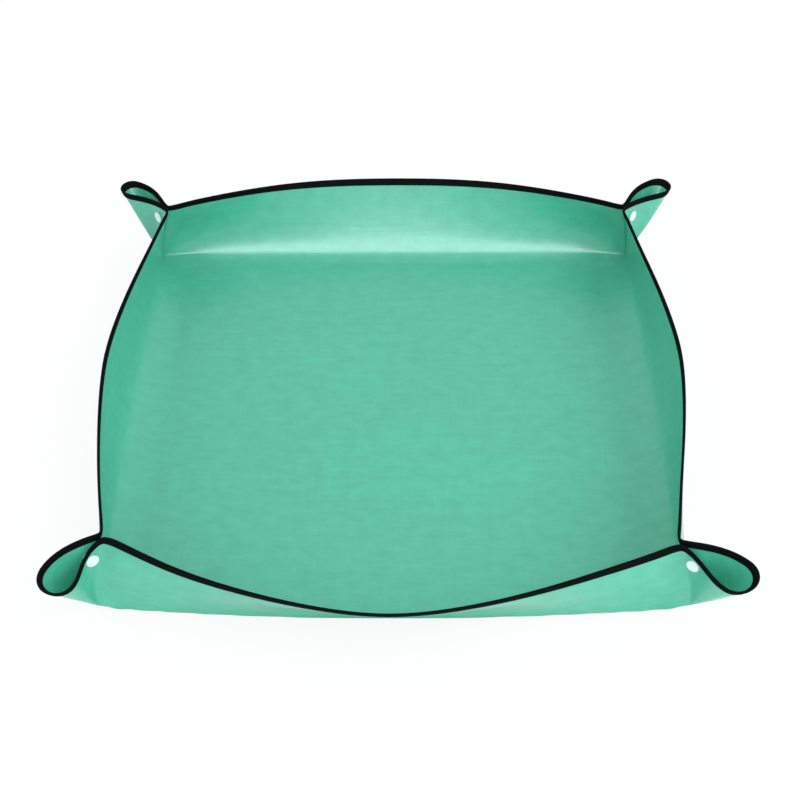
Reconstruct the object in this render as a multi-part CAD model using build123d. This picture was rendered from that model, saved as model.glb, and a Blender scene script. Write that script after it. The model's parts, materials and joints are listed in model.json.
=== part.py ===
from build123d import *
import math
import os

# A square repotting mat of coated woven sheet, its edge bound in tape. Four press snaps pinch the
# corners into loops that stick out like ears, so the mat stands up as a shallow soil tray.
# Millimetres, +Z up. The origin is the middle of the floor's underside.

# Sheet and edge tape
FLOOR_HALF = 249.0
SHEET = 0.6
TAPE = 0.5
TAPE_DEPTH = 8.0
TAPE_ROOM = 0.1

# Crease between floor and walls: the floor's margin curls up to the fold line
CREASE_RADIUS = 30.0
CREASE_ANGLE = 30.0
CREASE_STEPS = 4
FOLD_GAP = 0.4

# Walls: height and lean of the rim above the floor, at mid wall and at the pinched corners
FRONT_LEAN = 57.0
FRONT_HEIGHT = 60.0
SIDE_LEAN = 13.0
SIDE_HEIGHT = 76.0
PINCH_HEIGHT = 75.0
PINCH_IN = 21.0
WALL_BELLY = 4.0
WALL_SECTIONS = 7
WALL_END_GAP = 1.2

# Ears: the loop of rim outside each pinch, and the cone from it down to the floor's corner
EAR_DIRECTION = 38.0
EAR_REACH = 76.0
EAR_DROP = 8.0
NECK_HALF = 3.2
NECK_LENGTH = 20.0
NECK_START = 1.6
LOOP_RADIUS = 16.0
LOOP_START = 110.0
SEAM_HALF_ANGLE = 2.5
EAR_ROOT = 0.16

# Press snaps
SNAP_BELOW_RIM = 20.0
SNAP_OUT = 8.0
CAP_DIAMETER = 12.0
CAP_THICK = 1.5
CAP_ROUND = 0.7
POST_DIAMETER = 2.6
POST_ROOM = 0.3
SNAP_SEAT_GAP = 0.4
SNAP_DISC_DIAMETER = 9.5
SNAP_DISC_THICK = 0.8
KNOB_DIAMETER = 3.6
KNOB_ROOM = 0.5
CUP_WALL = 1.4
SNAP_END_GAP = 0.4

CREASE_RUN = CREASE_RADIUS * math.sin(math.radians(CREASE_ANGLE))
FOLD_HALF = FLOOR_HALF + CREASE_RUN
FOLD_HEIGHT = CREASE_RADIUS * (1 - math.cos(math.radians(CREASE_ANGLE)))
TAPE_OUTER = SHEET / 2 + TAPE_ROOM + TAPE
TAPE_INNER = SHEET / 2 + TAPE_ROOM

# Local places at a corner are (out along X, out along Y, up), measured from the corner's fold point
EAR_OUT = Vector(math.cos(math.radians(EAR_DIRECTION)), math.sin(math.radians(EAR_DIRECTION)), 0)
EAR_SIDE = Vector(-EAR_OUT.Y, EAR_OUT.X, 0)
APEX = Vector(0, 0, FOLD_HEIGHT)
PINCH = Vector(0, 0, PINCH_HEIGHT) - EAR_OUT * PINCH_IN
EAR_TIP = PINCH + EAR_OUT * EAR_REACH - Vector(0, 0, EAR_DROP)
EAR_AXIS = (EAR_TIP - PINCH).normalized()
EAR_LENGTH = (EAR_TIP - PINCH).length
PINCH_FRONT = PINCH + EAR_SIDE * NECK_HALF
PINCH_SIDE = PINCH - EAR_SIDE * NECK_HALF

CORNERS = {
    "front_left": (-1, -1),
    "front_right": (1, -1),
    "back_left": (-1, 1),
    "back_right": (1, 1),
}


def at_corner(corner, place):
    """A corner's local place in the tray's own frame."""
    sign_x, sign_y = CORNERS[corner]
    return Vector(sign_x * (FOLD_HALF + place.X), sign_y * (FOLD_HALF + place.Y), place.Z)


def along_corner(corner, direction):
    """A corner's local direction in the tray's own frame."""
    sign_x, sign_y = CORNERS[corner]
    return Vector(sign_x * direction.X, sign_y * direction.Y, direction.Z)


def floor_panel():
    """Flat floor whose margin curls up to the fold line on all four sides."""
    def dish(lift, top_extra):
        rims = []
        for step in range(CREASE_STEPS + 1):
            turn = math.radians(CREASE_ANGLE) * step / CREASE_STEPS
            half = FLOOR_HALF + CREASE_RADIUS * math.sin(turn) - FOLD_GAP
            height = CREASE_RADIUS * (1 - math.cos(turn)) + lift
            rims.append((half, height))
        rims.append((rims[-1][0], rims[-1][1] + top_extra))
        blocks = []
        for (low_half, low), (high_half, high) in zip(rims, rims[1:]):
            low_face = Pos(0, 0, low) * Rectangle(2 * low_half, 2 * low_half)
            high_face = Pos(0, 0, high) * Rectangle(2 * high_half, 2 * high_half)
            blocks.append(loft([low_face, high_face], ruled=True))
        return blocks[0].fuse(*blocks[1:])

    return dish(0, SHEET / 2) - dish(SHEET, SHEET)


def wall_section(wall, share, low, high, half):
    """Closed wire across a wall at one share of its length, between two heights along its curve."""
    is_front = wall in ("front", "back")
    pinch = PINCH_FRONT if is_front else PINCH_SIDE
    pinch_along, pinch_out = (pinch.X, pinch.Y) if is_front else (pinch.Y, pinch.X)
    lean, height = (FRONT_LEAN, FRONT_HEIGHT) if is_front else (SIDE_LEAN, SIDE_HEIGHT)
    bow = 1 - share ** 2
    foot = Vector(share * FOLD_HALF, FOLD_HALF, FOLD_HEIGHT)
    rim = Vector(
        share * (FOLD_HALF + pinch_along),
        FOLD_HALF + pinch_out + (lean - pinch_out) * bow,
        PINCH_HEIGHT + (height - PINCH_HEIGHT) * bow,
    )
    chord = rim - foot
    up = chord.normalized()
    out = Vector(0, 1, 0)
    normal = (out - up * out.dot(up)).normalized()

    def on_curve(rise, offset):
        belly = 4 * rise * (1 - rise) * WALL_BELLY
        return in_frame(foot + chord * rise + normal * (belly + offset))

    def in_frame(place):
        if wall == "front":
            return Vector(place.X, -place.Y, place.Z)
        if wall == "back":
            return place
        if wall == "left":
            return Vector(-place.Y, place.X, place.Z)
        return Vector(place.Y, place.X, place.Z)

    middle = (low + high) / 2
    outer = ThreePointArc(on_curve(low, half), on_curve(middle, half), on_curve(high, half))
    inner = ThreePointArc(on_curve(high, -half), on_curve(middle, -half), on_curve(low, -half))
    top = Line(outer @ 1, inner @ 0)
    bottom = Line(inner @ 1, outer @ 0)
    return Face(Wire([outer.edge(), top.edge(), inner.edge(), bottom.edge()]))


def wall_shell(wall, low, high, half):
    """Loft along a wall, as thick as twice half, between two heights along its curve."""
    end = 1 - WALL_END_GAP / FOLD_HALF
    shares = [end * (2 * step / (WALL_SECTIONS - 1) - 1) for step in range(WALL_SECTIONS)]
    return loft([wall_section(wall, share, low, high, half) for share in shares])


def wall_panel(wall):
    return wall_shell(wall, FOLD_GAP / PINCH_HEIGHT, 1, SHEET / 2)


def wall_binding(wall):
    """Folded tape over the wall's rim, with the sheet's edge in its slot."""
    lip = (TAPE_ROOM + TAPE) / PINCH_HEIGHT
    slot = TAPE_ROOM / PINCH_HEIGHT
    depth = TAPE_DEPTH / PINCH_HEIGHT
    folded = wall_shell(wall, 1 - depth, 1 + lip, TAPE_OUTER)
    return folded - wall_shell(wall, 1 - 2 * depth, 1 + slot, TAPE_INNER)


def ear_section(corner, side, share, half):
    """Closed wire across half an ear, at one share of the way from the floor's corner to the rim."""
    spread = half / share
    centre = EAR_LENGTH - LOOP_RADIUS

    def place(along, across):
        rim_place = PINCH + EAR_AXIS * along + EAR_SIDE * (side * across)
        return at_corner(corner, APEX + (rim_place - APEX) * share)

    def on_loop(angle, offset):
        turn = math.radians(angle)
        radius = LOOP_RADIUS + offset
        return place(centre + radius * math.cos(turn), radius * math.sin(turn))

    def strand(offset):
        middle = (LOOP_START + SEAM_HALF_ANGLE) / 2
        neck = Line(place(NECK_START, NECK_HALF + offset), place(NECK_LENGTH, NECK_HALF + offset))
        flare = Line(neck @ 1, on_loop(LOOP_START, offset))
        loop = ThreePointArc(flare @ 1, on_loop(middle, offset), on_loop(SEAM_HALF_ANGLE, offset))
        return neck, flare, loop

    outer = strand(spread)
    inner = strand(-spread)
    start = Line(inner[0] @ 0, outer[0] @ 0)
    seam = Line(outer[2] @ 1, inner[2] @ 1)
    lines = [*outer, seam, *reversed(inner), start]
    return Face(Wire([line.edge() for line in lines]))


def ear_shell(corner, side, low, high, half):
    """Part of a cone from the floor's corner to the ear's rim, as thick as twice half."""
    sections = [ear_section(corner, side, share, half) for share in (low, high)]
    return loft(sections, ruled=True)


def ear_panel(corner, side):
    hole = Cylinder(POST_DIAMETER / 2 + POST_ROOM, 4 * NECK_HALF)
    return ear_shell(corner, side, EAR_ROOT, 1, SHEET / 2) - snap_plane(corner, side) * hole


def ear_binding(corner, side):
    rise = (PINCH - APEX).length
    lip = (TAPE_ROOM + TAPE) / rise
    slot = TAPE_ROOM / rise
    depth = TAPE_DEPTH / rise
    folded = ear_shell(corner, side, 1 - depth, 1 + lip, TAPE_OUTER)
    return folded - ear_shell(corner, side, 1 - 2 * depth, 1 + slot, TAPE_INNER)


def snap_share():
    rise = (PINCH - APEX).length
    return (rise - SNAP_BELOW_RIM) / rise


def snap_plane(corner, side):
    """Plane on the ear's middle, at the snap, whose Z points out through one half's cap."""
    middle = APEX + (PINCH - APEX) * snap_share() + EAR_AXIS * SNAP_OUT
    facing = along_corner(corner, EAR_SIDE * side)
    return Plane(origin=at_corner(corner, middle), z_dir=facing)


def round_bar(diameter, low, high):
    """Upright round bar between two heights."""
    bar = Cylinder(diameter / 2, high - low, align=(Align.CENTER, Align.CENTER, Align.MIN))
    return Pos(0, 0, low) * bar


# Heights along a snap's axis, from the ear's middle out to one cap
SHEET_MIDDLE = NECK_HALF * snap_share()
DISC_TOP = SHEET_MIDDLE - SHEET / 2 - SNAP_SEAT_GAP
DISC_FACE = DISC_TOP - SNAP_DISC_THICK
CAP_SEAT = SHEET_MIDDLE + SHEET / 2 + SNAP_SEAT_GAP


def snap_cap(corner, side):
    """Round cap outside the sheet, with the post that holds the snap's inner half."""
    cap = round_bar(CAP_DIAMETER, CAP_SEAT, CAP_SEAT + CAP_THICK)
    cap = fillet(cap.edges().group_by(Axis.Z)[-1], CAP_ROUND)
    return snap_plane(corner, side) * (cap + round_bar(POST_DIAMETER, DISC_FACE, CAP_SEAT))


def snap_socket(corner, side):
    """Disc with a cup, on the post of the cap that faces front or back."""
    cup_bore = KNOB_DIAMETER + 2 * KNOB_ROOM
    cup_end = -DISC_FACE + SNAP_END_GAP
    disc = round_bar(SNAP_DISC_DIAMETER, DISC_FACE, DISC_TOP)
    cup = round_bar(cup_bore + 2 * CUP_WALL, cup_end, DISC_FACE)
    socket = disc + (cup - round_bar(cup_bore, cup_end, DISC_FACE))
    return snap_plane(corner, side) * (socket - round_bar(POST_DIAMETER, DISC_FACE, DISC_TOP))


def snap_stud(corner, side):
    """Disc with the knob that presses into the socket's cup."""
    knob_end = -DISC_FACE + SNAP_END_GAP
    disc = round_bar(SNAP_DISC_DIAMETER, DISC_FACE, DISC_TOP)
    stud = disc + round_bar(KNOB_DIAMETER, knob_end, DISC_FACE)
    return snap_plane(corner, side) * (stud - round_bar(POST_DIAMETER, DISC_FACE, DISC_TOP))


def main():
    os.makedirs("parts", exist_ok=True)
    pieces = {"floor_panel": floor_panel()}
    for wall in ("front", "back", "left", "right"):
        pieces[f"{wall}_wall"] = wall_panel(wall)
        pieces[f"{wall}_wall_binding"] = wall_binding(wall)
    for corner in CORNERS:
        for half, side in (("end", 1), ("side", -1)):
            pieces[f"{corner}_ear_{half}"] = ear_panel(corner, side)
            pieces[f"{corner}_ear_{half}_binding"] = ear_binding(corner, side)
            pieces[f"{corner}_snap_cap_{half}"] = snap_cap(corner, side)
        pieces[f"{corner}_snap_socket"] = snap_socket(corner, 1)
        pieces[f"{corner}_snap_stud"] = snap_stud(corner, -1)
    for name, piece in pieces.items():
        export_step(piece, f"parts/{name}.step")
        print(name, round(piece.volume, 1))


main()
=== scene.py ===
# %% [markdown]
# # A repotting mat that snaps up into a soil tray
# The mat is one square of coated woven sheet with a black tape folded over its edge. Four press snaps
# pinch its corners, so the edge stands up as four walls and the spare corner sheet sticks out as loops.
# The imported model brings the fold lines and the bodies. This script makes the sheet and the tape as the
# thin, soft things they are, on those same fold lines. It then sets the snaps on the sheet and gives every
# surface its finish.

# %% Load the frame and the solid model's parts
import bpy
import bmesh
import json
import math
from mathutils import Matrix, Vector


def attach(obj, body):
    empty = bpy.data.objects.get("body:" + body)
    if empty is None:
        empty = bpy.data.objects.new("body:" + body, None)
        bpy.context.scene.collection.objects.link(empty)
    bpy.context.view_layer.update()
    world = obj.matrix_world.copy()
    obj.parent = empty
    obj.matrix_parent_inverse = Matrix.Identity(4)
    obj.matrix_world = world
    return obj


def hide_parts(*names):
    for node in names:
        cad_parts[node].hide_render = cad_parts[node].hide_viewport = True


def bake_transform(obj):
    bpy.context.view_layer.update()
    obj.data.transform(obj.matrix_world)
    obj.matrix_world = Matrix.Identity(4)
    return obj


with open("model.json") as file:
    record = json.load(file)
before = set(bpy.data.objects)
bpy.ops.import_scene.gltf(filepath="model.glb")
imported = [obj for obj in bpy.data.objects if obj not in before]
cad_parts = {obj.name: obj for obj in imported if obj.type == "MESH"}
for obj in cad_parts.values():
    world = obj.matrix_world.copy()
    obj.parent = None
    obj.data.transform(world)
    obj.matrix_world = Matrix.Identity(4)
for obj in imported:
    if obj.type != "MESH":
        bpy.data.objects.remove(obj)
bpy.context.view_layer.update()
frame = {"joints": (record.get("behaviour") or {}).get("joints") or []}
joints = {joint["name"]: joint for joint in frame["joints"]}

# %% [markdown]
# ## The flat cut
# A soft thing that is sewn or folded from a flat cut is easiest to model the way it is made: lay out the
# flat square, then fold it. Every point of the sheet has a place (x, y) on the flat square, and one
# function says where that place goes when the corners are snapped. The same flat place is also its UV, so
# the weave follows the sheet round every bend.

# %% Sizes of the cut and of the folds
MM = 0.001
CUT_HALF = 340 * MM
FOLD_HALF = -joints["front_wall_fold"]["pos_m"][1]
WALL = CUT_HALF - FOLD_HALF
# The margin is the outer strip of the floor, which is cut in one piece with the walls.
MARGIN = 40 * MM
SHEET_THICK = 0.6 * MM
TINY = 1e-9

TAPE_DEPTH = 7 * MM
TAPE_THICK = 2.6 * MM
TAPE_OVER_EDGE = 0.8 * MM
print("cut", round(2 * CUT_HALF, 4), "wall", round(WALL, 4))

# %% [markdown]
# ## How each wall stands
# The four walls differ. At a wall's middle, `lean` and `height` place the rim, and `bow_power` says how
# soon that falls off towards the corners. `swell` pushes the bend past the fold line, evenly for a high
# `spread`. `bend` and `angle` are the bend's radius and turn at the floor, and `heel` is the slope at which
# the wall leaves it. `lead` is how far the wall keeps that slope, and `gain` lengthens it towards the
# corners. `crest` rounds the wall outwards below its rim, and `soft` says how near to the corners it
# turns straight. Angles are in degrees.

# %% Forms of the walls
SIDE_FORM = dict(height=79 * MM, bow_power=1.5, swell=-5 * MM, spread=12, bend=60 * MM,
                 angle=35, heel=35, lead=0.24, gain=0, crest=0.05, soft=3)
WALL_FORMS = {
    "front": dict(lean=58.5 * MM, height=55.5 * MM, bow_power=1.6, swell=13 * MM, spread=2, bend=8 * MM,
                  angle=42, heel=84, lead=0.31, gain=0, crest=0.09, soft=5),
    "back": dict(lean=60 * MM, height=67 * MM, bow_power=2.5, swell=3 * MM, spread=12, bend=28 * MM,
                 angle=38, heel=38, lead=0.25, gain=1.9, crest=0.05, soft=8),
    "left": dict(SIDE_FORM, lean=18 * MM),
    "right": dict(SIDE_FORM, lean=18.5 * MM),
}
# The bow is rounded at a wall's middle, so that the rim has no point there.
BOW_ROUND = 0.12
# Share of a bend's rise that is left at the floor's corner, and where along the wall it starts to fade.
CORNER_BEND_SHARE = 0.3
CORNER_BEND_START = 0.7
# Handles of a wall's curve as shares of its chord: the lower one at a corner, and the upper one.
STRAIGHT_HANDLE = 0.3
RIM_HANDLE = 0.36
print("rim heights, mm", {wall: round(form["height"] / MM, 1) for wall, form in WALL_FORMS.items()})

# %% [markdown]
# ## How each ear hangs
# No two ears hang alike. `heading` is the way an ear sets out from the pinch, and `swing` how much it turns
# after its snap. `opens` is where its loop starts to open, `loop` how wide that gets on either side, and
# `reach` how far it goes. `slump` moves the tip along the end wall, out and up. `tilt` is how much higher
# the rim stands on the side wall's half, and `tuck` how far that half is drawn in at the neck.

# %% Forms of the ears and of the pinch
EAR_FORMS = {
    "front_left": dict(heading=34, swing=24, opens=4 * MM, loop=16 * MM, reach=68 * MM,
                       slump=Vector((1.3, -4, -17.4)) * MM, tilt=4 * MM, tuck=0),
    "front_right": dict(heading=34, swing=8, opens=-4 * MM, loop=17 * MM, reach=77 * MM,
                        slump=Vector((0, 0, -6)) * MM, tilt=4 * MM, tuck=5 * MM),
    "back_left": dict(heading=52, swing=-36, opens=6 * MM, loop=13 * MM, reach=66 * MM,
                      slump=Vector((3.4, 17, -2.2)) * MM, tilt=0, tuck=4 * MM),
    "back_right": dict(heading=52, swing=-34, opens=2 * MM, loop=14 * MM, reach=67 * MM,
                       slump=Vector((3.4, 17, -2.2)) * MM, tilt=0, tuck=4 * MM),
}
# The pinch is the top of a corner, where the two walls' rims meet in the neck of the ear.
PINCH_HEIGHT = 75 * MM
PINCH_IN = 21 * MM
PINCH_TURN = math.radians(38)
NECK_HALF = 2.6 * MM
SWING_START = 12 * MM
SWING_LENGTH = 34 * MM
# The snap sits below and outside the pinch, and pulls the two sheets together round it.
SNAP_BELOW_RIM = 20 * MM
SNAP_OUT = 10 * MM
SNAP_HALF_GAP = 2.3 * MM
SNAP_PULL = 9 * MM
TUCK_LENGTH = 24 * MM

pinch = Vector((-PINCH_IN * math.cos(PINCH_TURN), -PINCH_IN * math.sin(PINCH_TURN), PINCH_HEIGHT))
pinch_across = Vector((-math.sin(PINCH_TURN), math.cos(PINCH_TURN), 0))
print("pinch, from the fold's corner, mm", [round(c / MM, 1) for c in pinch])

# %% [markdown]
# ## From flat to folded
# The folding is worked out for one quarter at a time, as distances along a wall, out from the middle and
# up. Three formulas cover it: the floor with its rising margin, a wall as a curve from the bend to the
# rim, and an ear as a cone from the floor's corner to the loop of rim outside the pinch.

# %% Names of the walls and corners
WALLS = {"front": ("end", -1), "back": ("end", 1), "left": ("side", -1), "right": ("side", 1)}


def corner_of(wall, along_sign):
    """The corner at one end of a wall, and the other wall that meets it there."""
    if WALLS[wall][0] == "end":
        other = "left" if along_sign < 0 else "right"
        return f"{wall}_{other}", other
    other = "front" if along_sign < 0 else "back"
    return f"{other}_{wall}", other


def smooth_share(value, low, high):
    """Goes from 0 to 1 between two values, with a level start and end."""
    share = min(max((value - low) / (high - low), 0), 1)
    return share * share * (3 - 2 * share)


print("corners", [corner_of(wall, sign)[0] for wall in ("front", "back") for sign in (-1, 1)])


# %% Floor: flat, with a margin that rises into the bend on every side
def fold_line(wall, along):
    """How far out a wall's bend ends, at one place along the wall."""
    form = WALL_FORMS[wall]
    return FOLD_HALF + form["swell"] * (1 - (along / FOLD_HALF) ** form["spread"])


def bend_rise(wall, along, out):
    """How high the round bend has lifted the sheet, at one place along the wall and out."""
    radius = WALL_FORMS[wall]["bend"]
    full_run = radius * math.sin(math.radians(WALL_FORMS[wall]["angle"]))
    start = fold_line(wall, along) - full_run
    run = min(max(out - start, 0), full_run)
    fade = 1 - (1 - CORNER_BEND_SHARE) * smooth_share(along, CORNER_BEND_START * FOLD_HALF, FOLD_HALF)
    return (radius - math.sqrt(radius ** 2 - run ** 2)) * fade


def floor_place(wall, other, along, out):
    """A place on the floor, lifted by the bend of whichever of two walls lifts it more."""
    rise = max(bend_rise(wall, along, out), bend_rise(other, out, along))
    return Vector((along, out, rise + SHEET_THICK / 2))


bend_heights = {wall: bend_rise(wall, 0, fold_line(wall, 0)) for wall in WALLS}
print("height where each wall starts, mm", {wall: round(up / MM, 1) for wall, up in bend_heights.items()})


# %% Wall: a curve from the bend to the bowed rim, straight where it meets the pinch
def curve_place(start, low, high, end, share):
    """A place on the curve between two ends with two handles."""
    rest = 1 - share
    place = start * rest ** 3 + low * (3 * rest * rest * share)
    return place + high * (3 * rest * share * share) + end * share ** 3


def neck_of(wall, other):
    """Where a wall's rim enters the neck: along the wall, out, and up, from the fold's corner."""
    if WALLS[wall][0] == "end":
        return pinch + pinch_across * NECK_HALF
    place = pinch - pinch_across * NECK_HALF
    return Vector((place.y, place.x - EAR_FORMS[f"{other}_{wall}"]["tuck"], place.z))


def wall_place(wall, other, along, out):
    """A place on a wall: the rim and the foot are found first, and then the curve between them."""
    form = WALL_FORMS[wall]
    neck = neck_of(wall, other)
    share = along / FOLD_HALF
    rounded = math.hypot(share, BOW_ROUND) / math.hypot(1, BOW_ROUND)
    bow = 1 - rounded ** form["bow_power"]
    foot_out = fold_line(wall, along)
    foot = floor_place(wall, other, along, foot_out)
    rim = Vector((
        share * (FOLD_HALF + neck.x),
        FOLD_HALF + neck.y + (form["lean"] - neck.y) * bow,
        PINCH_HEIGHT + (form["height"] - PINCH_HEIGHT) * bow,
    ))
    chord = rim - foot
    soft = 1 - share ** form["soft"]
    lead = form["lead"] * (1 + form["gain"] * share ** 2)
    heel = math.radians(form["heel"])
    start_slope = Vector((0, math.cos(heel), math.sin(heel)))
    low = foot + start_slope * (chord.length * lead * soft) + chord * (STRAIGHT_HANDLE * (1 - soft))
    high = rim - chord * RIM_HANDLE + Vector((0, form["crest"] * chord.length * soft, 0))
    return curve_place(foot, low, high, rim, (out - foot_out) / (CUT_HALF - foot_out))


mid_rims = {wall: wall_place(wall, corner_of(wall, 1)[1], 0, CUT_HALF) for wall in WALLS}
print("how far out each rim is, mm", {wall: round(rim.y / MM, 1) for wall, rim in mid_rims.items()})


# %% Ear: the rim runs out from the pinch, opens, and closes in a round loop
def ear_line(form, run):
    """The ear's middle line seen from above: how far it has come, and which way it then heads."""
    heading = math.radians(form["heading"])
    turn_rate = math.radians(form["swing"]) / SWING_LENGTH
    turning = min(max(run - SWING_START, 0), SWING_LENGTH)
    turned = heading + turn_rate * turning
    before = min(run, SWING_START)
    after = run - turning - before
    middle = heading + turn_rate * turning / 2
    place = Vector((math.cos(heading), math.sin(heading), 0)) * before
    place += Vector((math.cos(middle), math.sin(middle), 0)) * turning
    place += Vector((math.cos(turned), math.sin(turned), 0)) * after
    return place, turned


def loop_outline(form, share):
    """How far the rim has run along the ear, and how far it stands off the middle line."""
    loop_start = form["reach"] - form["loop"]
    straight_share = loop_start / (loop_start + form["loop"] * math.pi / 2)
    if share < straight_share:
        run = loop_start * share / straight_share
        opening = smooth_share(run, form["opens"], loop_start)
        return run, NECK_HALF + (form["loop"] - NECK_HALF) * opening
    turn = math.pi / 2 * (share - straight_share) / (1 - straight_share)
    return loop_start + form["loop"] * math.sin(turn), form["loop"] * math.cos(turn)


def ear_middle(form, apex, run, height_share):
    """A place on the ear's middle surface, half way between its two sheets."""
    forward, heading = ear_line(form, run)
    rim = pinch + forward + form["slump"] * smooth_share(run, 0, form["reach"])
    return apex + (rim - apex) * height_share, heading


def snap_middle(form, apex):
    """Where a snap sits on its ear's middle surface, and the ear's heading there."""
    share = 1 - SNAP_BELOW_RIM / (pinch - apex).length
    return ear_middle(form, apex, SNAP_OUT / share, share)


def ear_place(form, apex, along, out, side):
    """Along and out are measured from the fold's corner on the flat cut, with out the longer."""
    if out < TINY:
        return apex.copy()
    height_share = out / WALL
    run, half_width = loop_outline(form, along / out)
    middle, heading = ear_middle(form, apex, run, height_share)
    snap, _ = snap_middle(form, apex)
    stand_off = half_width * height_share
    pulled = math.exp(-((middle - snap).length / SNAP_PULL) ** 2)
    stand_off += (SNAP_HALF_GAP - stand_off) * pulled
    across = Vector((-math.sin(heading), math.cos(heading), 0))
    raised = -side * form["tilt"] * math.sin(math.pi * along / out) * height_share
    tucked = form["tuck"] * (1 - smooth_share(run, 0, TUCK_LENGTH)) * (1 - pulled) * height_share
    return middle + across * (side * stand_off) + Vector((-tucked if side < 0 else 0, 0, raised))


for corner, form in EAR_FORMS.items():
    tip_run, tip_width = loop_outline(form, 1)
    print(corner, "loop runs out to, mm", round(tip_run / MM, 1), "and closes to", round(tip_width / MM, 1))


# %% One rule for any flat place, seen from the wall it belongs to
def corner_apex(wall, other):
    """The floor's corner, from which an ear fans out, measured from the fold's corner."""
    return floor_place(wall, other, FOLD_HALF, FOLD_HALF) - Vector((FOLD_HALF, FOLD_HALF, 0))


def folded(wall, along_sign, along, out):
    """Where a flat place goes when the corners are snapped."""
    corner, other = corner_of(wall, along_sign)
    if out <= fold_line(wall, min(along, FOLD_HALF)):
        return floor_place(wall, other, along, out)
    if along <= FOLD_HALF:
        return wall_place(wall, other, along, out)
    side = 1 if WALLS[wall][0] == "end" else -1
    apex = corner_apex(wall, other)
    place = ear_place(EAR_FORMS[corner], apex, along - FOLD_HALF, out - FOLD_HALF, side)
    if side < 0:
        place = Vector((place.y, place.x, place.z))
    return place + Vector((FOLD_HALF, FOLD_HALF, 0))


print("rim at mid front", [round(c, 4) for c in folded("front", 1, 0, CUT_HALF)])
print("ear tip", [round(c, 4) for c in folded("front", 1, CUT_HALF, CUT_HALF)])

# %% [markdown]
# ## Rounding the pinch
# Folded by formula, the sheet would turn a sharp corner where a wall runs into an ear. Real sheet can't:
# it goes round in a small curve. Averaging each row of the sheet over a short length, only near the
# pinch, rounds that corner and leaves the rest as it was.

# %% Average along the row, close to the pinch
ROUND_CENTRE = FOLD_HALF - 8 * MM
ROUND_REACH = 12 * MM
ROUND_SAMPLES = 9
ROUND_END_WEIGHT = 0.1
ROUND_FULL_SHARE = 0.3


def row_out(along, share, edge):
    """Flat distance out for one row of an ear piece: from the fold, or the diagonal, to the edge."""
    start = max(FOLD_HALF, along)
    return start + (edge - start) * share


def softened(wall, along_sign, along, share, edge):
    """A folded place on one row of the sheet, averaged along the row where that is near the pinch."""
    nearness = max(0, 1 - abs(along - ROUND_CENTRE) / (2 * ROUND_REACH))
    reach = ROUND_REACH * smooth_share(nearness, 0, 1) * smooth_share(share, 0, ROUND_FULL_SHARE)
    total = Vector((0, 0, 0))
    weight = 0
    for step in range(ROUND_SAMPLES):
        offset = 2 * step / (ROUND_SAMPLES - 1) - 1
        near = along + reach * offset
        part = 1 + ROUND_END_WEIGHT - abs(offset)
        total += folded(wall, along_sign, near, row_out(near, share, edge)) * part
        weight += part
    return total / weight


sharp = folded("front", 1, ROUND_CENTRE, CUT_HALF)
rounded_off = (softened("front", 1, ROUND_CENTRE, 1, CUT_HALF) - sharp).length
print("the pinch is rounded by, mm", round(rounded_off / MM, 2))

# %% [markdown]
# ## Cutting the mat into its moving pieces
# The mat is one sheet, but its floor, walls and ears turn on different fold lines. Each piece is a grid
# made flat by create_grid and then folded by the rule above. A wall piece starts on the flat of the
# floor, so its bend is all its own, and an ear piece starts on the flat of the wall.

# %% From a quarter to the whole tray, a little off square
def to_tray(wall, along_sign, place):
    """Turns along, out and up for one wall and end into the tray's own x, y and z."""
    kind, sign = WALLS[wall]
    along, out, up = place
    if kind == "end":
        return Vector((along_sign * along, sign * out, up))
    return Vector((sign * out, along_sign * along, up))


# A soft tray never sits quite square. Each entry moves the sheet round one spot of a corner a little.
FOOT_REACH = 34 * MM
PINCH_REACH = 55 * MM
SETTLED = (
    (("front", -1, "foot"), Vector((4 * MM, -1 * MM, 1.5 * MM))),
    (("front", 1, "foot"), Vector((0.5 * MM, 0, 2.5 * MM))),
    (("back", -1, "foot"), Vector((0, 0, 1.5 * MM))),
    (("back", 1, "foot"), Vector((-4 * MM, 0, 1.5 * MM))),
    (("front", -1, "pinch"), Vector((1.5 * MM, 0, 7 * MM))),
    (("front", 1, "pinch"), Vector((3.5 * MM, 0, -2 * MM))),
    (("back", -1, "pinch"), Vector((-1.5 * MM, 0, 2 * MM))),
    (("back", 1, "pinch"), Vector((2.5 * MM, 0, 2 * MM))),
)


def settled_spot(wall, along_sign, level):
    """The foot or the pinch of one corner, in the tray's own x, y and z."""
    local = pinch if level == "pinch" else Vector((0, 0, 0))
    return to_tray(wall, along_sign, local + Vector((FOLD_HALF, FOLD_HALF, 0)))


def settle_reach(level):
    return PINCH_REACH if level == "pinch" else FOOT_REACH


SETTLE_MOVES = [(settled_spot(*spot), move, settle_reach(spot[2])) for spot, move in SETTLED]


def settle(place):
    """Adds the small moves near a place, and keeps the sheet on the table."""
    moved = place.copy()
    for spot, move, reach in SETTLE_MOVES:
        moved += move * math.exp(-((place - spot).length / reach) ** 2)
    moved.z = max(moved.z, SHEET_THICK / 2)
    return moved


print("spots moved", len(SETTLE_MOVES))

# %% From bmesh to piece
UV_ORIGIN = 0.5
WELD = 1e-6
SLIVER = 1e-7


def lay_out(bm, uv_name, flats):
    """Writes the flat places as UVs, joins the grid up, and returns its crisp open edges."""
    uv = bm.loops.layers.uv.new(uv_name)
    for face in bm.faces:
        face.smooth = True
        for loop in face.loops:
            flat = flats[loop.vert.index]
            loop[uv].uv = (flat[0] + UV_ORIGIN, flat[1] + UV_ORIGIN)
    bmesh.ops.remove_doubles(bm, verts=bm.verts[:], dist=WELD)
    rim = [edge for edge in bm.edges if edge.is_boundary]
    for edge in rim:
        edge.smooth = False
    return rim


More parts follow.
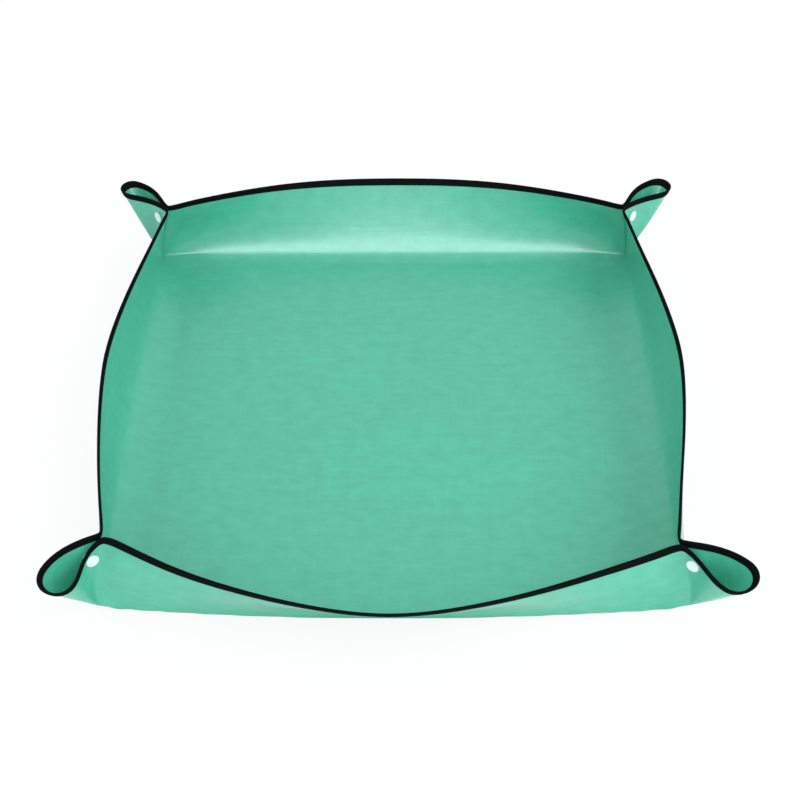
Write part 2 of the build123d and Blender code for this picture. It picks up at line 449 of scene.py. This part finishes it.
def link_object(name, bm):
    """Turns a bmesh into an object of the scene."""
    mesh = bpy.data.meshes.new(name)
    bm.to_mesh(mesh)
    bm.free()
    piece = bpy.data.objects.new(name, mesh)
    bpy.context.scene.collection.objects.link(piece)
    return piece


def thicken(piece):
    """Gives a sheet its thickness, half to either side."""
    shell = piece.modifiers.new("thickness", "SOLIDIFY")
    shell.thickness = SHEET_THICK
    shell.offset = 0
    shell.use_even_offset = True


def face_upwards(bm):
    """Turns a sheet so that its inner face, the one that looks up, is the front of it."""
    bm.normal_update()
    lean = sum(face.normal.z * face.calc_area() for face in bm.faces)
    if lean < 0:
        bmesh.ops.reverse_faces(bm, faces=bm.faces[:])


print("sheet thickness, mm", round(SHEET_THICK / MM, 2))

# %% Floor piece: the flat middle of the sheet
FLOOR_CELL = 4 * MM
INNER_HALF = FOLD_HALF - MARGIN


def make_floor():
    bm = bmesh.new()
    cells = round(2 * INNER_HALF / FLOOR_CELL)
    bmesh.ops.create_grid(bm, x_segments=cells, y_segments=cells, size=INNER_HALF)
    flats = {}
    for vert in bm.verts:
        x, y, _ = vert.co
        flats[vert.index] = (x, y)
        wall = "front" if y < 0 else "back"
        other = "left" if x < 0 else "right"
        height = floor_place(wall, other, abs(x), abs(y)).z
        vert.co = settle(Vector((x, y, height)))
    face_upwards(bm)
    lay_out(bm, "cut", flats)
    piece = link_object("mat_floor", bm)
    thicken(piece)
    return piece


floor_piece = make_floor()
print("floor faces", len(floor_piece.data.polygons))


# %% Wall pieces: the mitred margin of the floor and the wall, up to the edge
WALL_CELL = 2 * MM
MARGIN_ROWS = round(MARGIN / WALL_CELL)
WALL_ROWS = 38
SHEET_EDGE = CUT_HALF - TAPE_OVER_EDGE


def wall_row_out(row):
    """Flat distance out of one row: even rows on the margin up to the fold, then even rows on the wall."""
    if row <= MARGIN_ROWS:
        return INNER_HALF + MARGIN * row / MARGIN_ROWS
    return FOLD_HALF + (SHEET_EDGE - FOLD_HALF) * (row - MARGIN_ROWS) / WALL_ROWS


def make_wall(wall):
    """A grid for the wall and its margin, with two small grids as the margin's mitred ends."""
    rows = MARGIN_ROWS + WALL_ROWS
    bm = bmesh.new()
    bmesh.ops.create_grid(bm, x_segments=round(2 * INNER_HALF / WALL_CELL), y_segments=rows, size=1)
    for vert in bm.verts:
        vert.co = (vert.co.x * INNER_HALF, wall_row_out((vert.co.y + 1) / 2 * rows), 0)
    for sign in (-1, 1):
        mitre = bmesh.ops.create_grid(bm, x_segments=MARGIN_ROWS, y_segments=MARGIN_ROWS, size=1)["verts"]
        for vert in mitre:
            along = INNER_HALF + MARGIN * (vert.co.x + 1) / 2
            vert.co = (sign * along, along + (FOLD_HALF - along) * (vert.co.y + 1) / 2, 0)
    bm.verts.index_update()
    flats = {}
    for vert in bm.verts:
        along, out, _ = vert.co
        sign = 1 if along >= 0 else -1
        flats[vert.index] = to_tray(wall, sign, (abs(along), out, 0)).xy
        vert.co = settle(to_tray(wall, sign, folded(wall, sign, abs(along), out)))
    lay_out(bm, "cut", flats)
    bmesh.ops.dissolve_degenerate(bm, dist=SLIVER, edges=bm.edges[:])
    bmesh.ops.recalc_face_normals(bm, faces=bm.faces[:])
    face_upwards(bm)
    piece = link_object(f"mat_{wall}_wall", bm)
    thicken(piece)
    return piece


print("rows on a wall: margin", MARGIN_ROWS, "and wall", WALL_ROWS)


# %% Ear pieces: the wall's end and half an ear, up to the corner's diagonal
EAR_COLUMNS = 116
EAR_ROWS = WALL_ROWS
EAR_INWARD = (-1, -1, 0.6)


def make_ear_half(wall, along_sign, label):
    """A grid from the wall's end to the corner's diagonal, where its last column closes to a point."""
    bm = bmesh.new()
    bmesh.ops.create_grid(bm, x_segments=EAR_COLUMNS, y_segments=EAR_ROWS, size=1)
    flats = {}
    for vert in bm.verts:
        along = INNER_HALF + (vert.co.x + 1) / 2 * (SHEET_EDGE - INNER_HALF)
        share = (vert.co.y + 1) / 2
        flat = (along, row_out(along, share, SHEET_EDGE), 0)
        flats[vert.index] = to_tray(wall, along_sign, flat).xy
        vert.co = settle(to_tray(wall, along_sign, softened(wall, along_sign, along, share, SHEET_EDGE)))
    inward = to_tray(wall, along_sign, EAR_INWARD)
    bm.normal_update()
    if sum(face.normal.dot(inward) * face.calc_area() for face in bm.faces) < 0:
        bmesh.ops.reverse_faces(bm, faces=bm.faces[:])
    lay_out(bm, "cut", flats)
    piece = link_object(f"mat_{label}", bm)
    thicken(piece)
    return piece


print("columns and rows on an ear half", EAR_COLUMNS, EAR_ROWS)

# %% [markdown]
# ## The edge tape
# The tape is folded over the edge, so in section it is a long rounded loop round the sheet. A grid gives
# the loop's turns in one direction and the length in the other, and it is wrapped round the same folded
# rim, standing off it along the sheet's own normal.

# %% Wrap the tape round the rim
TAPE_TURNS = 14
TAPE_CELL = 2 * MM
TAPE_FLATNESS = 0.62
NUDGE = 0.2 * MM


def flattened(wave):
    """Squares a wave off towards -1 and 1, which makes a circle of two such waves a rounded box."""
    return math.copysign(abs(wave) ** TAPE_FLATNESS, wave)


def tape_section(turn):
    """One point of the tape's rounded section: depth below the edge, and stand-off from the sheet."""
    angle = 2 * math.pi * turn
    depth = TAPE_DEPTH / 2 * (1 - flattened(math.cos(angle)))
    stand_off = TAPE_THICK / 2 * flattened(math.sin(angle))
    return depth, stand_off


def wall_rim(wall, along_sign, along, depth):
    return folded(wall, along_sign, along, CUT_HALF - depth)


def ear_rim_row(wall, along_sign, along, depth):
    out = CUT_HALF - depth
    start = max(FOLD_HALF, along)
    share = (out - start) / max(CUT_HALF - start, TINY)
    return softened(wall, along_sign, along, min(max(share, 0), 1), CUT_HALF)


def make_tape(wall, along_sign, first, last, name):
    """Tape from one place along the rim to another. Without a sign it runs across the wall's middle."""
    on_ear = along_sign != 0
    place_on = ear_rim_row if on_ear else wall_rim
    step = -NUDGE if on_ear else NUDGE
    columns = round((last - first) / TAPE_CELL)
    bm = bmesh.new()
    bmesh.ops.create_grid(bm, x_segments=columns, y_segments=TAPE_TURNS, size=1)
    flats = {}
    for vert in bm.verts:
        signed = first + (vert.co.x + 1) / 2 * (last - first)
        depth, stand_off = tape_section((vert.co.y + 1) / 2)
        sign = along_sign if on_ear else (1 if signed >= 0 else -1)
        along = min(abs(signed), CUT_HALF - depth)
        place = place_on(wall, sign, along, depth)
        ahead = place_on(wall, sign, along + step, depth)
        below = place_on(wall, sign, min(along, CUT_HALF - depth - NUDGE), depth + NUDGE)
        normal = (ahead - place).cross(below - place).normalized()
        flats[vert.index] = (signed, depth)
        vert.co = settle(to_tray(wall, sign, place + normal * stand_off))
    ends = lay_out(bm, "tape", flats)
    caps = bmesh.ops.holes_fill(bm, edges=ends, sides=0)["faces"]
    for cap in caps:
        cap.smooth = False
    bmesh.ops.recalc_face_normals(bm, faces=bm.faces[:])
    return link_object(name, bm)


print("tape a quarter of the way round, mm", [round(c / MM, 2) for c in tape_section(0.25)])

# %% [markdown]
# ## Tying the floor and the wall tapes to their bodies
# The floor rides on one body, and each wall's tape on its wall's body. The wall and ear sheets and the
# ears' tapes are tied to no body here.

# %% Make the walls and the ears with their tapes, and tie the floor and the wall tapes to their bodies
sheet_pieces = {}
tape_pieces = {}

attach(floor_piece, "floor")
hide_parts("floor_panel")
sheet_pieces["floor"] = floor_piece

for wall in WALLS:
    body = f"{wall}_side"
    panel = make_wall(wall)
    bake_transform(panel)
    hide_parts(f"{wall}_wall")
    sheet_pieces[wall] = panel
    tape = make_tape(wall, 0, -INNER_HALF, INNER_HALF, f"tape_{wall}_wall")
    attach(tape, body)
    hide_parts(f"{wall}_wall_binding")
    tape_pieces[wall] = tape
print("floor and wall pieces", len(sheet_pieces), "tapes", len(tape_pieces))

for front in ("front", "back"):
    for side in ("left", "right"):
        corner = f"{front}_{side}"
        for half, wall, along_sign in (("end", front, WALLS[side][1]), ("side", side, WALLS[front][1])):
            label = f"{corner}_ear_{half}"
            panel = make_ear_half(wall, along_sign, label)
            tape = make_tape(wall, along_sign, INNER_HALF, CUT_HALF, f"tape_{label}")
            for piece in (panel, tape):
                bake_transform(piece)
            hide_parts(label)
            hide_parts(f"{label}_binding")
            sheet_pieces[label] = panel
            tape_pieces[label] = tape
print("sheet pieces", len(sheet_pieces), "tape pieces", len(tape_pieces))

# %% [markdown]
# ## The press snaps
# Each snap has a rounded cap with a dished face on either side of the pinched sheets, and between them
# a socket ring on one sheet and a stud on the other.

# %% Snap parts, as turned discs along the snap's own axis
CAP_RADIUS = 6 * MM
CAP_THICK = 1.7 * MM
CAP_EDGE = 0.7 * MM
DISH_RING = 0.8 * MM
DISH_FALLS = (0.0875 * MM, 0.175 * MM)
BASE_RADIUS = 4.0 * MM
BASE_THICK = 0.7 * MM
BASE_EDGE = 0.28 * MM
CUP_RADIUS = 3.2 * MM
CUP_DEPTH = 1.1 * MM
CUP_EDGE = 0.3 * MM
CUP_WALL = 0.8 * MM
CUP_HOLLOW = 0.66 * MM
KNOB_RADIUS = 1.8 * MM
KNOB_LENGTH = 2.0 * MM
KNOB_EDGE = 0.6 * MM
ROUND_STEPS = 40
EDGE_STEPS = 4
LEVEL = 1e-7


def add_disc(bm, radius, depth, rounding):
    """A round disc on the Z axis, from zero upwards, with its upper rim rounded. Returns its top face."""
    spot = Matrix.Translation((0, 0, depth / 2))
    made = bmesh.ops.create_cone(bm, cap_ends=True, segments=ROUND_STEPS, radius1=radius, radius2=radius,
                                 depth=depth, matrix=spot)
    rim = {edge for vert in made["verts"] for edge in vert.link_edges
           if all(abs(end.co.z - depth) < LEVEL for end in edge.verts)}
    bmesh.ops.bevel(bm, geom=list(rim), offset=rounding, segments=EDGE_STEPS, profile=0.5,
                    affect="EDGES", material=-1)
    faces = [face for face in bm.faces if all(abs(vert.co.z - depth) < LEVEL for vert in face.verts)]
    return max(faces, key=lambda face: face.calc_area())


def sink(bm, face, ring, fall):
    """Sets a ring into a disc's top, and lowers what is inside it."""
    bmesh.ops.inset_region(bm, faces=[face], thickness=ring)
    bmesh.ops.translate(bm, verts=face.verts[:], vec=(0, 0, -fall))


def make_snap_part(kind):
    bm = bmesh.new()
    if kind == "cap":
        top = add_disc(bm, CAP_RADIUS, CAP_THICK, CAP_EDGE)
        for fall in DISH_FALLS:
            sink(bm, top, DISH_RING, fall)
    else:
        add_disc(bm, BASE_RADIUS, BASE_THICK, BASE_EDGE)
    if kind == "socket":
        sink(bm, add_disc(bm, CUP_RADIUS, CUP_DEPTH, CUP_EDGE), CUP_WALL, CUP_HOLLOW)
    if kind == "stud":
        add_disc(bm, KNOB_RADIUS, KNOB_LENGTH, KNOB_EDGE)
    return bm


print("cap, mm across", round(2 * CAP_RADIUS / MM, 1), "and thick", round(CAP_THICK / MM, 1))

# %% [markdown]
# A snap is seated by the same formula that draws the sheet together round it, so it follows its ear. The
# cap and socket of one half and the cap and stud of the other then ride on those halves.

# %% Set the four snaps on their sheets
snap_pieces = []


def place_snap(corner, front, side, kind, half, side_sign):
    """Makes one part of a snap, and seats it on the outer or inner face of its half of the ear."""
    form = EAR_FORMS[corner]
    middle, heading = snap_middle(form, corner_apex(front, side))
    across = Vector((-math.sin(heading), math.cos(heading), 0)) * side_sign
    outside = kind == "cap"
    seat = SNAP_HALF_GAP + (SHEET_THICK / 2 if outside else -SHEET_THICK / 2)
    centre = middle + across * seat + Vector((FOLD_HALF, FOLD_HALF, 0))
    facing = across if outside else -across
    along_sign = WALLS[side][1]
    centre = settle(to_tray(front, along_sign, centre))
    facing = to_tray(front, along_sign, facing)
    bm = make_snap_part(kind)
    turned = facing.to_track_quat("Z", "Y").to_matrix().to_4x4()
    bmesh.ops.transform(bm, matrix=Matrix.Translation(centre) @ turned, verts=bm.verts[:])
    for face in bm.faces:
        face.smooth = True
    bmesh.ops.recalc_face_normals(bm, faces=bm.faces[:])
    node = f"{corner}_snap_cap_{half}" if outside else f"{corner}_snap_{kind}"
    piece = link_object(f"white_{node}", bm)
    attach(piece, f"{corner}_ear_{half}_half")
    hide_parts(node)
    snap_pieces.append(piece)


for front in ("front", "back"):
    for side in ("left", "right"):
        corner = f"{front}_{side}"
        place_snap(corner, front, side, "cap", "end", 1)
        place_snap(corner, front, side, "cap", "side", -1)
        place_snap(corner, front, side, "socket", "end", 1)
        place_snap(corner, front, side, "stud", "side", -1)
print("snap parts", len(snap_pieces))

# %% [markdown]
# ## Finishes
# The sheet is flat plastic tape woven into cloth and coated on both sides: glossy, a clear mint green,
# with the weave just showing through as fine ridges and streaks. The edge tape is matt black cloth, and
# the snaps are smooth white plastic.

# %% Helpers for patterns made of nodes
def new_group(name, inputs, outputs):
    """An empty node group with named inputs and outputs."""
    group = bpy.data.node_groups.new(name, "ShaderNodeTree")
    for label, kind, value in inputs:
        socket = group.interface.new_socket(label, in_out="INPUT", socket_type=kind)
        if value is not None:
            socket.default_value = value
    for label, kind in outputs:
        group.interface.new_socket(label, in_out="OUTPUT", socket_type=kind)
    start = group.nodes.new("NodeGroupInput")
    end = group.nodes.new("NodeGroupOutput")
    return group, start, end


def math_node(tree, operation, first, second=None):
    """One step of arithmetic on sockets or plain numbers. Returns the result's socket."""
    node = tree.nodes.new("ShaderNodeMath")
    node.operation = operation
    for socket, value in zip(node.inputs, (first, second)):
        if value is None:
            continue
        if isinstance(value, (int, float)):
            socket.default_value = value
        else:
            tree.links.new(value, socket)
    return node.outputs[0]


# %% Woven cloth as a node group: two sets of ribbons that cross over and under
SHEET_RIBBON = 2.2 * MM
TAPE_RIBBON = 0.6 * MM


def make_weave_group():
    group, start, end = new_group(
        "crossing_ribbons",
        [("Place", "NodeSocketVector", None), ("Ribbon", "NodeSocketFloat", SHEET_RIBBON)],
        [("Height", "NodeSocketFloat")],
    )
    parts = group.nodes.new("ShaderNodeSeparateXYZ")
    group.links.new(start.outputs["Place"], parts.inputs[0])
    turns = math_node(group, "DIVIDE", math.pi, start.outputs["Ribbon"])
    across = math_node(group, "MULTIPLY", parts.outputs["X"], turns)
    along = math_node(group, "MULTIPLY", parts.outputs["Y"], turns)
    warp = math_node(group, "ABSOLUTE", math_node(group, "SINE", across))
    weft = math_node(group, "ABSOLUTE", math_node(group, "SINE", along))
    sign = math_node(group, "MULTIPLY", math_node(group, "SINE", across), math_node(group, "SINE", along))
    over = math_node(group, "GREATER_THAN", sign, 0.0)
    under = math_node(group, "SUBTRACT", 1.0, over)
    height = math_node(group, "ADD", math_node(group, "MULTIPLY", warp, over),
                       math_node(group, "MULTIPLY", weft, under))
    group.links.new(height, end.inputs["Height"])
    return group


weave = make_weave_group()
print("weave nodes", len(weave.nodes))

# %% Stitching as a node group: a dashed row of thread at one depth of the tape
STITCH_DEPTH = 5.4 * MM
STITCH_PITCH = 3.0 * MM
STITCH_WIDTH = 0.7 * MM
STITCH_FILL = 0.4
STITCH_CRISPNESS = 2.0


def make_stitch_group():
    group, start, end = new_group(
        "stitch_row",
        [("Place", "NodeSocketVector", None)],
        [("Thread", "NodeSocketFloat")],
    )
    parts = group.nodes.new("ShaderNodeSeparateXYZ")
    group.links.new(start.outputs["Place"], parts.inputs[0])
    depth = math_node(group, "SUBTRACT", parts.outputs["Y"], UV_ORIGIN + STITCH_DEPTH)
    off_row = math_node(group, "DIVIDE", math_node(group, "ABSOLUTE", depth), STITCH_WIDTH / 2)
    on_row = math_node(group, "MAXIMUM", math_node(group, "SUBTRACT", 1.0, off_row), 0.0)
    turns = math_node(group, "MULTIPLY", parts.outputs["X"], 2 * math.pi / STITCH_PITCH)
    wave = math_node(group, "ADD", math_node(group, "SINE", turns), STITCH_FILL)
    crisp = math_node(group, "MULTIPLY", wave, STITCH_CRISPNESS)
    dash = math_node(group, "MINIMUM", math_node(group, "MAXIMUM", crisp, 0.0), 1.0)
    group.links.new(math_node(group, "MULTIPLY", on_row, dash), end.inputs["Thread"])
    return group


stitching = make_stitch_group()
print("stitch nodes", len(stitching.nodes))

# %% [markdown]
# With the two patterns made, each material needs only colours, a little noise and a bump. The bump tilts
# the surface in the light without changing its shape, which suits ridges far thinner than the sheet.

# %% Helpers for materials
BUMP_DISTANCE = 0.4 * MM


def new_material(name, roughness):
    """A material with its node tree and its main shader."""
    material = bpy.data.materials.new(name)
    material.use_nodes = True
    tree = material.node_tree
    shader = tree.nodes["Principled BSDF"]
    shader.inputs["Roughness"].default_value = roughness
    return material, tree, shader


def colour_mix(tree, factor, first, second):
    """Goes from one colour to another as the factor goes from 0 to 1."""
    node = tree.nodes.new("ShaderNodeMix")
    node.data_type = "RGBA"
    tree.links.new(factor, node.inputs["Factor"])
    for label, value in (("A", first), ("B", second)):
        socket = [s for s in node.inputs if s.name == label and s.type == "RGBA"][0]
        if isinstance(value, tuple):
            socket.default_value = value
        else:
            tree.links.new(value, socket)
    return [s for s in node.outputs if s.type == "RGBA"][0]


def stretched_noise(tree, place, scale_x, scale_y, detail):
    """Cloudy noise with its own scale in each direction, which makes streaks when the two differ."""
    mapping = tree.nodes.new("ShaderNodeMapping")
    mapping.inputs["Scale"].default_value = (scale_x, scale_y, 1)
    tree.links.new(place, mapping.inputs["Vector"])
    noise = tree.nodes.new("ShaderNodeTexNoise")
    noise.inputs["Scale"].default_value = 1
    noise.inputs["Detail"].default_value = detail
    tree.links.new(mapping.outputs[0], noise.inputs["Vector"])
    return noise.outputs["Fac"]


def bump_from(tree, shader, height, strength):
    """Lets a height pattern tilt the surface, without changing its shape."""
    bump = tree.nodes.new("ShaderNodeBump")
    bump.inputs["Strength"].default_value = strength
    bump.inputs["Distance"].default_value = BUMP_DISTANCE
    tree.links.new(height, bump.inputs["Height"])
    tree.links.new(bump.outputs[0], shader.inputs["Normal"])


def group_at(tree, group, place):
    """Puts a pattern group into a material, read at the given place."""
    node = tree.nodes.new("ShaderNodeGroup")
    node.node_tree = group
    tree.links.new(place, node.inputs["Place"])
    return node


print("bump distance, mm", round(BUMP_DISTANCE / MM, 2))

# %% The mint sheet
STREAK_DEEP = (0.045, 0.350, 0.235, 1)
STREAK_PALE = (0.087, 0.500, 0.355, 1)
BLOTCH_DEEP = (0.036, 0.290, 0.190, 1)
BLOTCH_PALE = (0.096, 0.560, 0.400, 1)
STREAK_ALONG = 14
STREAK_ACROSS = 320
BLOTCH_X = 60
BLOTCH_Y = 85
CLOUD_DETAIL = 3
BLOTCH_LEAST = 0.3
BLOTCH_ON_RIDGES = 0.3
SHEET_RIDGES = 0.5
SHEET_BUMP = 0.22


def make_sheet_material():
    material, tree, shader = new_material("coated_mint_weave", 0.32)
    place = tree.nodes.new("ShaderNodeUVMap")
    place.uv_map = "cut"
    where = place.outputs["UV"]
    ribbons = group_at(tree, weave, where)
    ribbons.inputs["Ribbon"].default_value = SHEET_RIBBON
    ridges = ribbons.outputs["Height"]
    across = stretched_noise(tree, where, STREAK_ALONG, STREAK_ACROSS, CLOUD_DETAIL)
    down = stretched_noise(tree, where, STREAK_ACROSS, STREAK_ALONG, CLOUD_DETAIL)
    patches = stretched_noise(tree, where, BLOTCH_X, BLOTCH_Y, CLOUD_DETAIL)
    streak = math_node(tree, "MULTIPLY", math_node(tree, "ADD", across, down), 0.5)
    base = colour_mix(tree, streak, STREAK_DEEP, STREAK_PALE)
    blotch = colour_mix(tree, patches, BLOTCH_DEEP, BLOTCH_PALE)
    share = math_node(tree, "ADD", math_node(tree, "MULTIPLY", ridges, BLOTCH_ON_RIDGES), BLOTCH_LEAST)
    tree.links.new(colour_mix(tree, share, base, blotch), shader.inputs["Base Color"])
    height = math_node(tree, "ADD", math_node(tree, "MULTIPLY", ridges, SHEET_RIDGES), across)
    bump_from(tree, shader, height, SHEET_BUMP)
    shader.inputs["Subsurface Weight"].default_value = 0.3
    shader.inputs["Subsurface Radius"].default_value = (0.6, 1.0, 0.8)
    shader.inputs["Subsurface Scale"].default_value = 2 * MM
    shader.inputs["Coat Weight"].default_value = 0.5
    shader.inputs["Coat Roughness"].default_value = 0.2
    return material


sheet_material = make_sheet_material()
print("sheet finish", sheet_material.name, "nodes", len(sheet_material.node_tree.nodes))

# %% The black edge tape
CLOTH_DEEP = (0.0012, 0.0020, 0.0017, 1)
CLOTH_PALE = (0.0042, 0.0060, 0.0052, 1)
THREAD = (0.010, 0.013, 0.012, 1)
TAPE_RIDGES = 0.3
TAPE_BUMP = 0.5


def make_tape_material():
    material, tree, shader = new_material("black_edge_tape", 0.75)
    shader.inputs["Specular IOR Level"].default_value = 0.03
    place = tree.nodes.new("ShaderNodeUVMap")
    place.uv_map = "tape"
    ribbons = group_at(tree, weave, place.outputs["UV"])
    ribbons.inputs["Ribbon"].default_value = TAPE_RIBBON
    ridges = ribbons.outputs["Height"]
    thread = group_at(tree, stitching, place.outputs["UV"]).outputs["Thread"]
    cloth = colour_mix(tree, ridges, CLOTH_DEEP, CLOTH_PALE)
    tree.links.new(colour_mix(tree, thread, cloth, THREAD), shader.inputs["Base Color"])
    height = math_node(tree, "ADD", math_node(tree, "MULTIPLY", ridges, TAPE_RIDGES), thread)
    bump_from(tree, shader, height, TAPE_BUMP)
    return material


tape_material = make_tape_material()
print("tape finish", tape_material.name, "nodes", len(tape_material.node_tree.nodes))

# %% The white snaps
SNAP_DEEP = (0.64, 0.82, 0.75, 1)
SNAP_PALE = (0.70, 0.86, 0.80, 1)
SNAP_GRAIN = 400
SNAP_DETAIL = 2


def make_snap_material():
    material, tree, shader = new_material("white_snap", 0.3)
    coordinate = tree.nodes.new("ShaderNodeTexCoord")
    grain = stretched_noise(tree, coordinate.outputs["Object"], SNAP_GRAIN, SNAP_GRAIN, SNAP_DETAIL)
    tree.links.new(colour_mix(tree, grain, SNAP_DEEP, SNAP_PALE), shader.inputs["Base Color"])
    return material


snap_material = make_snap_material()
print("snap finish", snap_material.name)

# %% Give each piece its finish
for piece in sheet_pieces.values():
    piece.data.materials.append(sheet_material)
for piece in tape_pieces.values():
    piece.data.materials.append(tape_material)
for piece in snap_pieces:
    piece.data.materials.append(snap_material)
print("finished pieces", len(sheet_pieces) + len(tape_pieces) + len(snap_pieces))

# %% [markdown]
# ## Counting the sheet pieces
# A wall's area is a strip with two mitred ends, and an ear half's is a strip and half a square.

for label, piece in sheet_pieces.items():
    if label == "floor":
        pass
    elif label in WALLS:
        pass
    else:
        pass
print("sheets declared", len(sheet_pieces))

# %% [markdown]
# ## Stage, light and camera
# The tray stands on white ground in soft light. A long lamp overhead shows in the gloss alone, as the
# bright band on the bend at the back. Three wide lamps, from the right, from the front above and from low
# in front, light the sheet without showing in its gloss, so the left wall is lighter than the right. The
# world around is white, and a little dimmer in the gloss.

# %% Ground
GROUND_HALF = 12
GROUND_COLOUR = (0.86, 0.87, 0.87, 1)
GROUND_GLOW = 0.88


def make_ground():
    """A large sheet of ground, which the camera sees as white with only a faint shadow."""
    bm = bmesh.new()
    bmesh.ops.create_grid(bm, x_segments=1, y_segments=1, size=GROUND_HALF)
    ground = link_object("ground", bm)
    material = bpy.data.materials.new("pale_ground")
    material.use_nodes = True
    tree = material.node_tree
    tree.nodes.clear()
    output = tree.nodes.new("ShaderNodeOutputMaterial")
    diffuse = tree.nodes.new("ShaderNodeBsdfDiffuse")
    diffuse.inputs["Color"].default_value = GROUND_COLOUR
    glow = tree.nodes.new("ShaderNodeEmission")
    glow.inputs["Strength"].default_value = 1
    path = tree.nodes.new("ShaderNodeLightPath")
    mix = tree.nodes.new("ShaderNodeMixShader")
    seen = math_node(tree, "MULTIPLY", path.outputs["Is Camera Ray"], GROUND_GLOW)
    tree.links.new(seen, mix.inputs["Fac"])
    tree.links.new(diffuse.outputs[0], mix.inputs[1])
    tree.links.new(glow.outputs[0], mix.inputs[2])
    tree.links.new(mix.outputs[0], output.inputs["Surface"])
    ground.data.materials.append(material)


make_ground()
print("ground, m across", 2 * GROUND_HALF)


# %% Lamps and world
WHITE = (1, 1, 1)
COOL = (0.92, 0.95, 1)
WORLD_LEVEL = 0.98
WORLD_GLOSS_DROP = 0.3


def soft_lamp(name, place, target, size, power, colour, in_gloss):
    """A rectangular lamp. It either shows in the gloss or lights the surfaces, not both."""
    light = bpy.data.lights.new(name, "AREA")
    light.shape = "RECTANGLE"
    light.size, light.size_y = size
    light.energy = power
    light.color = colour
    lamp = bpy.data.objects.new(name, light)
    lamp.location = place
    lamp.rotation_mode = "QUATERNION"
    lamp.rotation_quaternion = (Vector(target) - Vector(place)).to_track_quat("-Z", "Y")
    lamp.visible_glossy = in_gloss
    lamp.visible_diffuse = not in_gloss
    bpy.context.scene.collection.objects.link(lamp)
    print("lamp", name, "of", power, "W")


soft_lamp("overhead", (0, -0.55, 1.7), (0, 0.1, 0), (2.4, 0.46), 30, COOL, in_gloss=True)
soft_lamp("right_key", (1.7, -0.6, 1.5), (0, 0, 0), (1.4, 1.4), 15, WHITE, in_gloss=False)
soft_lamp("front_top", (0.2, -1.6, 1.8), (0, 0.2, 0), (1.4, 1.0), 10, WHITE, in_gloss=False)
soft_lamp("front_fill", (0.5, -2.3, 0.8), (0, 0, 0.05), (1.4, 1.0), 11, WHITE, in_gloss=False)

world = bpy.data.worlds.new("studio")
bpy.context.scene.world = world
world.use_nodes = True
world_tree = world.node_tree
background = world_tree.nodes["Background"]
background.inputs["Color"].default_value = (1, 1, 1, 1)
world_path = world_tree.nodes.new("ShaderNodeLightPath")
gloss_drop = math_node(world_tree, "MULTIPLY", world_path.outputs["Is Glossy Ray"], -WORLD_GLOSS_DROP)
level = math_node(world_tree, "ADD", gloss_drop, WORLD_LEVEL)
world_tree.links.new(level, background.inputs["Strength"])

# %% [markdown]
# ## Camera
# The camera's place, turn and lens were fitted to the rim, the pinches and the ears in the photograph. The
# middle of the lens falls a little beside the middle of the picture, so the camera is shifted by that much.

# %% Camera, as the photograph was taken
CAMERA_ELEVATION = math.radians(41.36)
CAMERA_YAW = math.radians(0.97)
CAMERA_ROLL = math.radians(-0.71)
CAMERA_DISTANCE = 1.6336
FOCAL_PIXELS = 1620.8
IMAGE_PIXELS = 800
SENSOR_WIDTH = 36
PRINCIPAL_X = 393.2
PRINCIPAL_Y = 412.0

back = Vector((
    math.sin(CAMERA_YAW) * math.cos(CAMERA_ELEVATION),
    -math.cos(CAMERA_YAW) * math.cos(CAMERA_ELEVATION),
    math.sin(CAMERA_ELEVATION),
))
right = Vector((math.cos(CAMERA_YAW), math.sin(CAMERA_YAW), 0))
up = back.cross(right)
rolled_right = right * math.cos(CAMERA_ROLL) + up * math.sin(CAMERA_ROLL)
rolled_up = up * math.cos(CAMERA_ROLL) - right * math.sin(CAMERA_ROLL)
camera_data = bpy.data.cameras.new("camera")
camera_data.sensor_width = SENSOR_WIDTH
camera_data.lens = SENSOR_WIDTH * FOCAL_PIXELS / IMAGE_PIXELS
camera_data.shift_x = (IMAGE_PIXELS / 2 - PRINCIPAL_X) / IMAGE_PIXELS
camera_data.shift_y = (PRINCIPAL_Y - IMAGE_PIXELS / 2) / IMAGE_PIXELS
camera = bpy.data.objects.new("camera", camera_data)
turn = Matrix((rolled_right, rolled_up, back)).transposed()
camera.rotation_mode = "QUATERNION"
camera.rotation_quaternion = turn.to_quaternion()
camera.location = back * CAMERA_DISTANCE
bpy.context.scene.collection.objects.link(camera)
bpy.context.scene.camera = camera
bpy.context.scene.view_settings.view_transform = "Standard"
print("camera at", [round(c, 3) for c in camera.location], "lens, mm", round(camera_data.lens, 1))
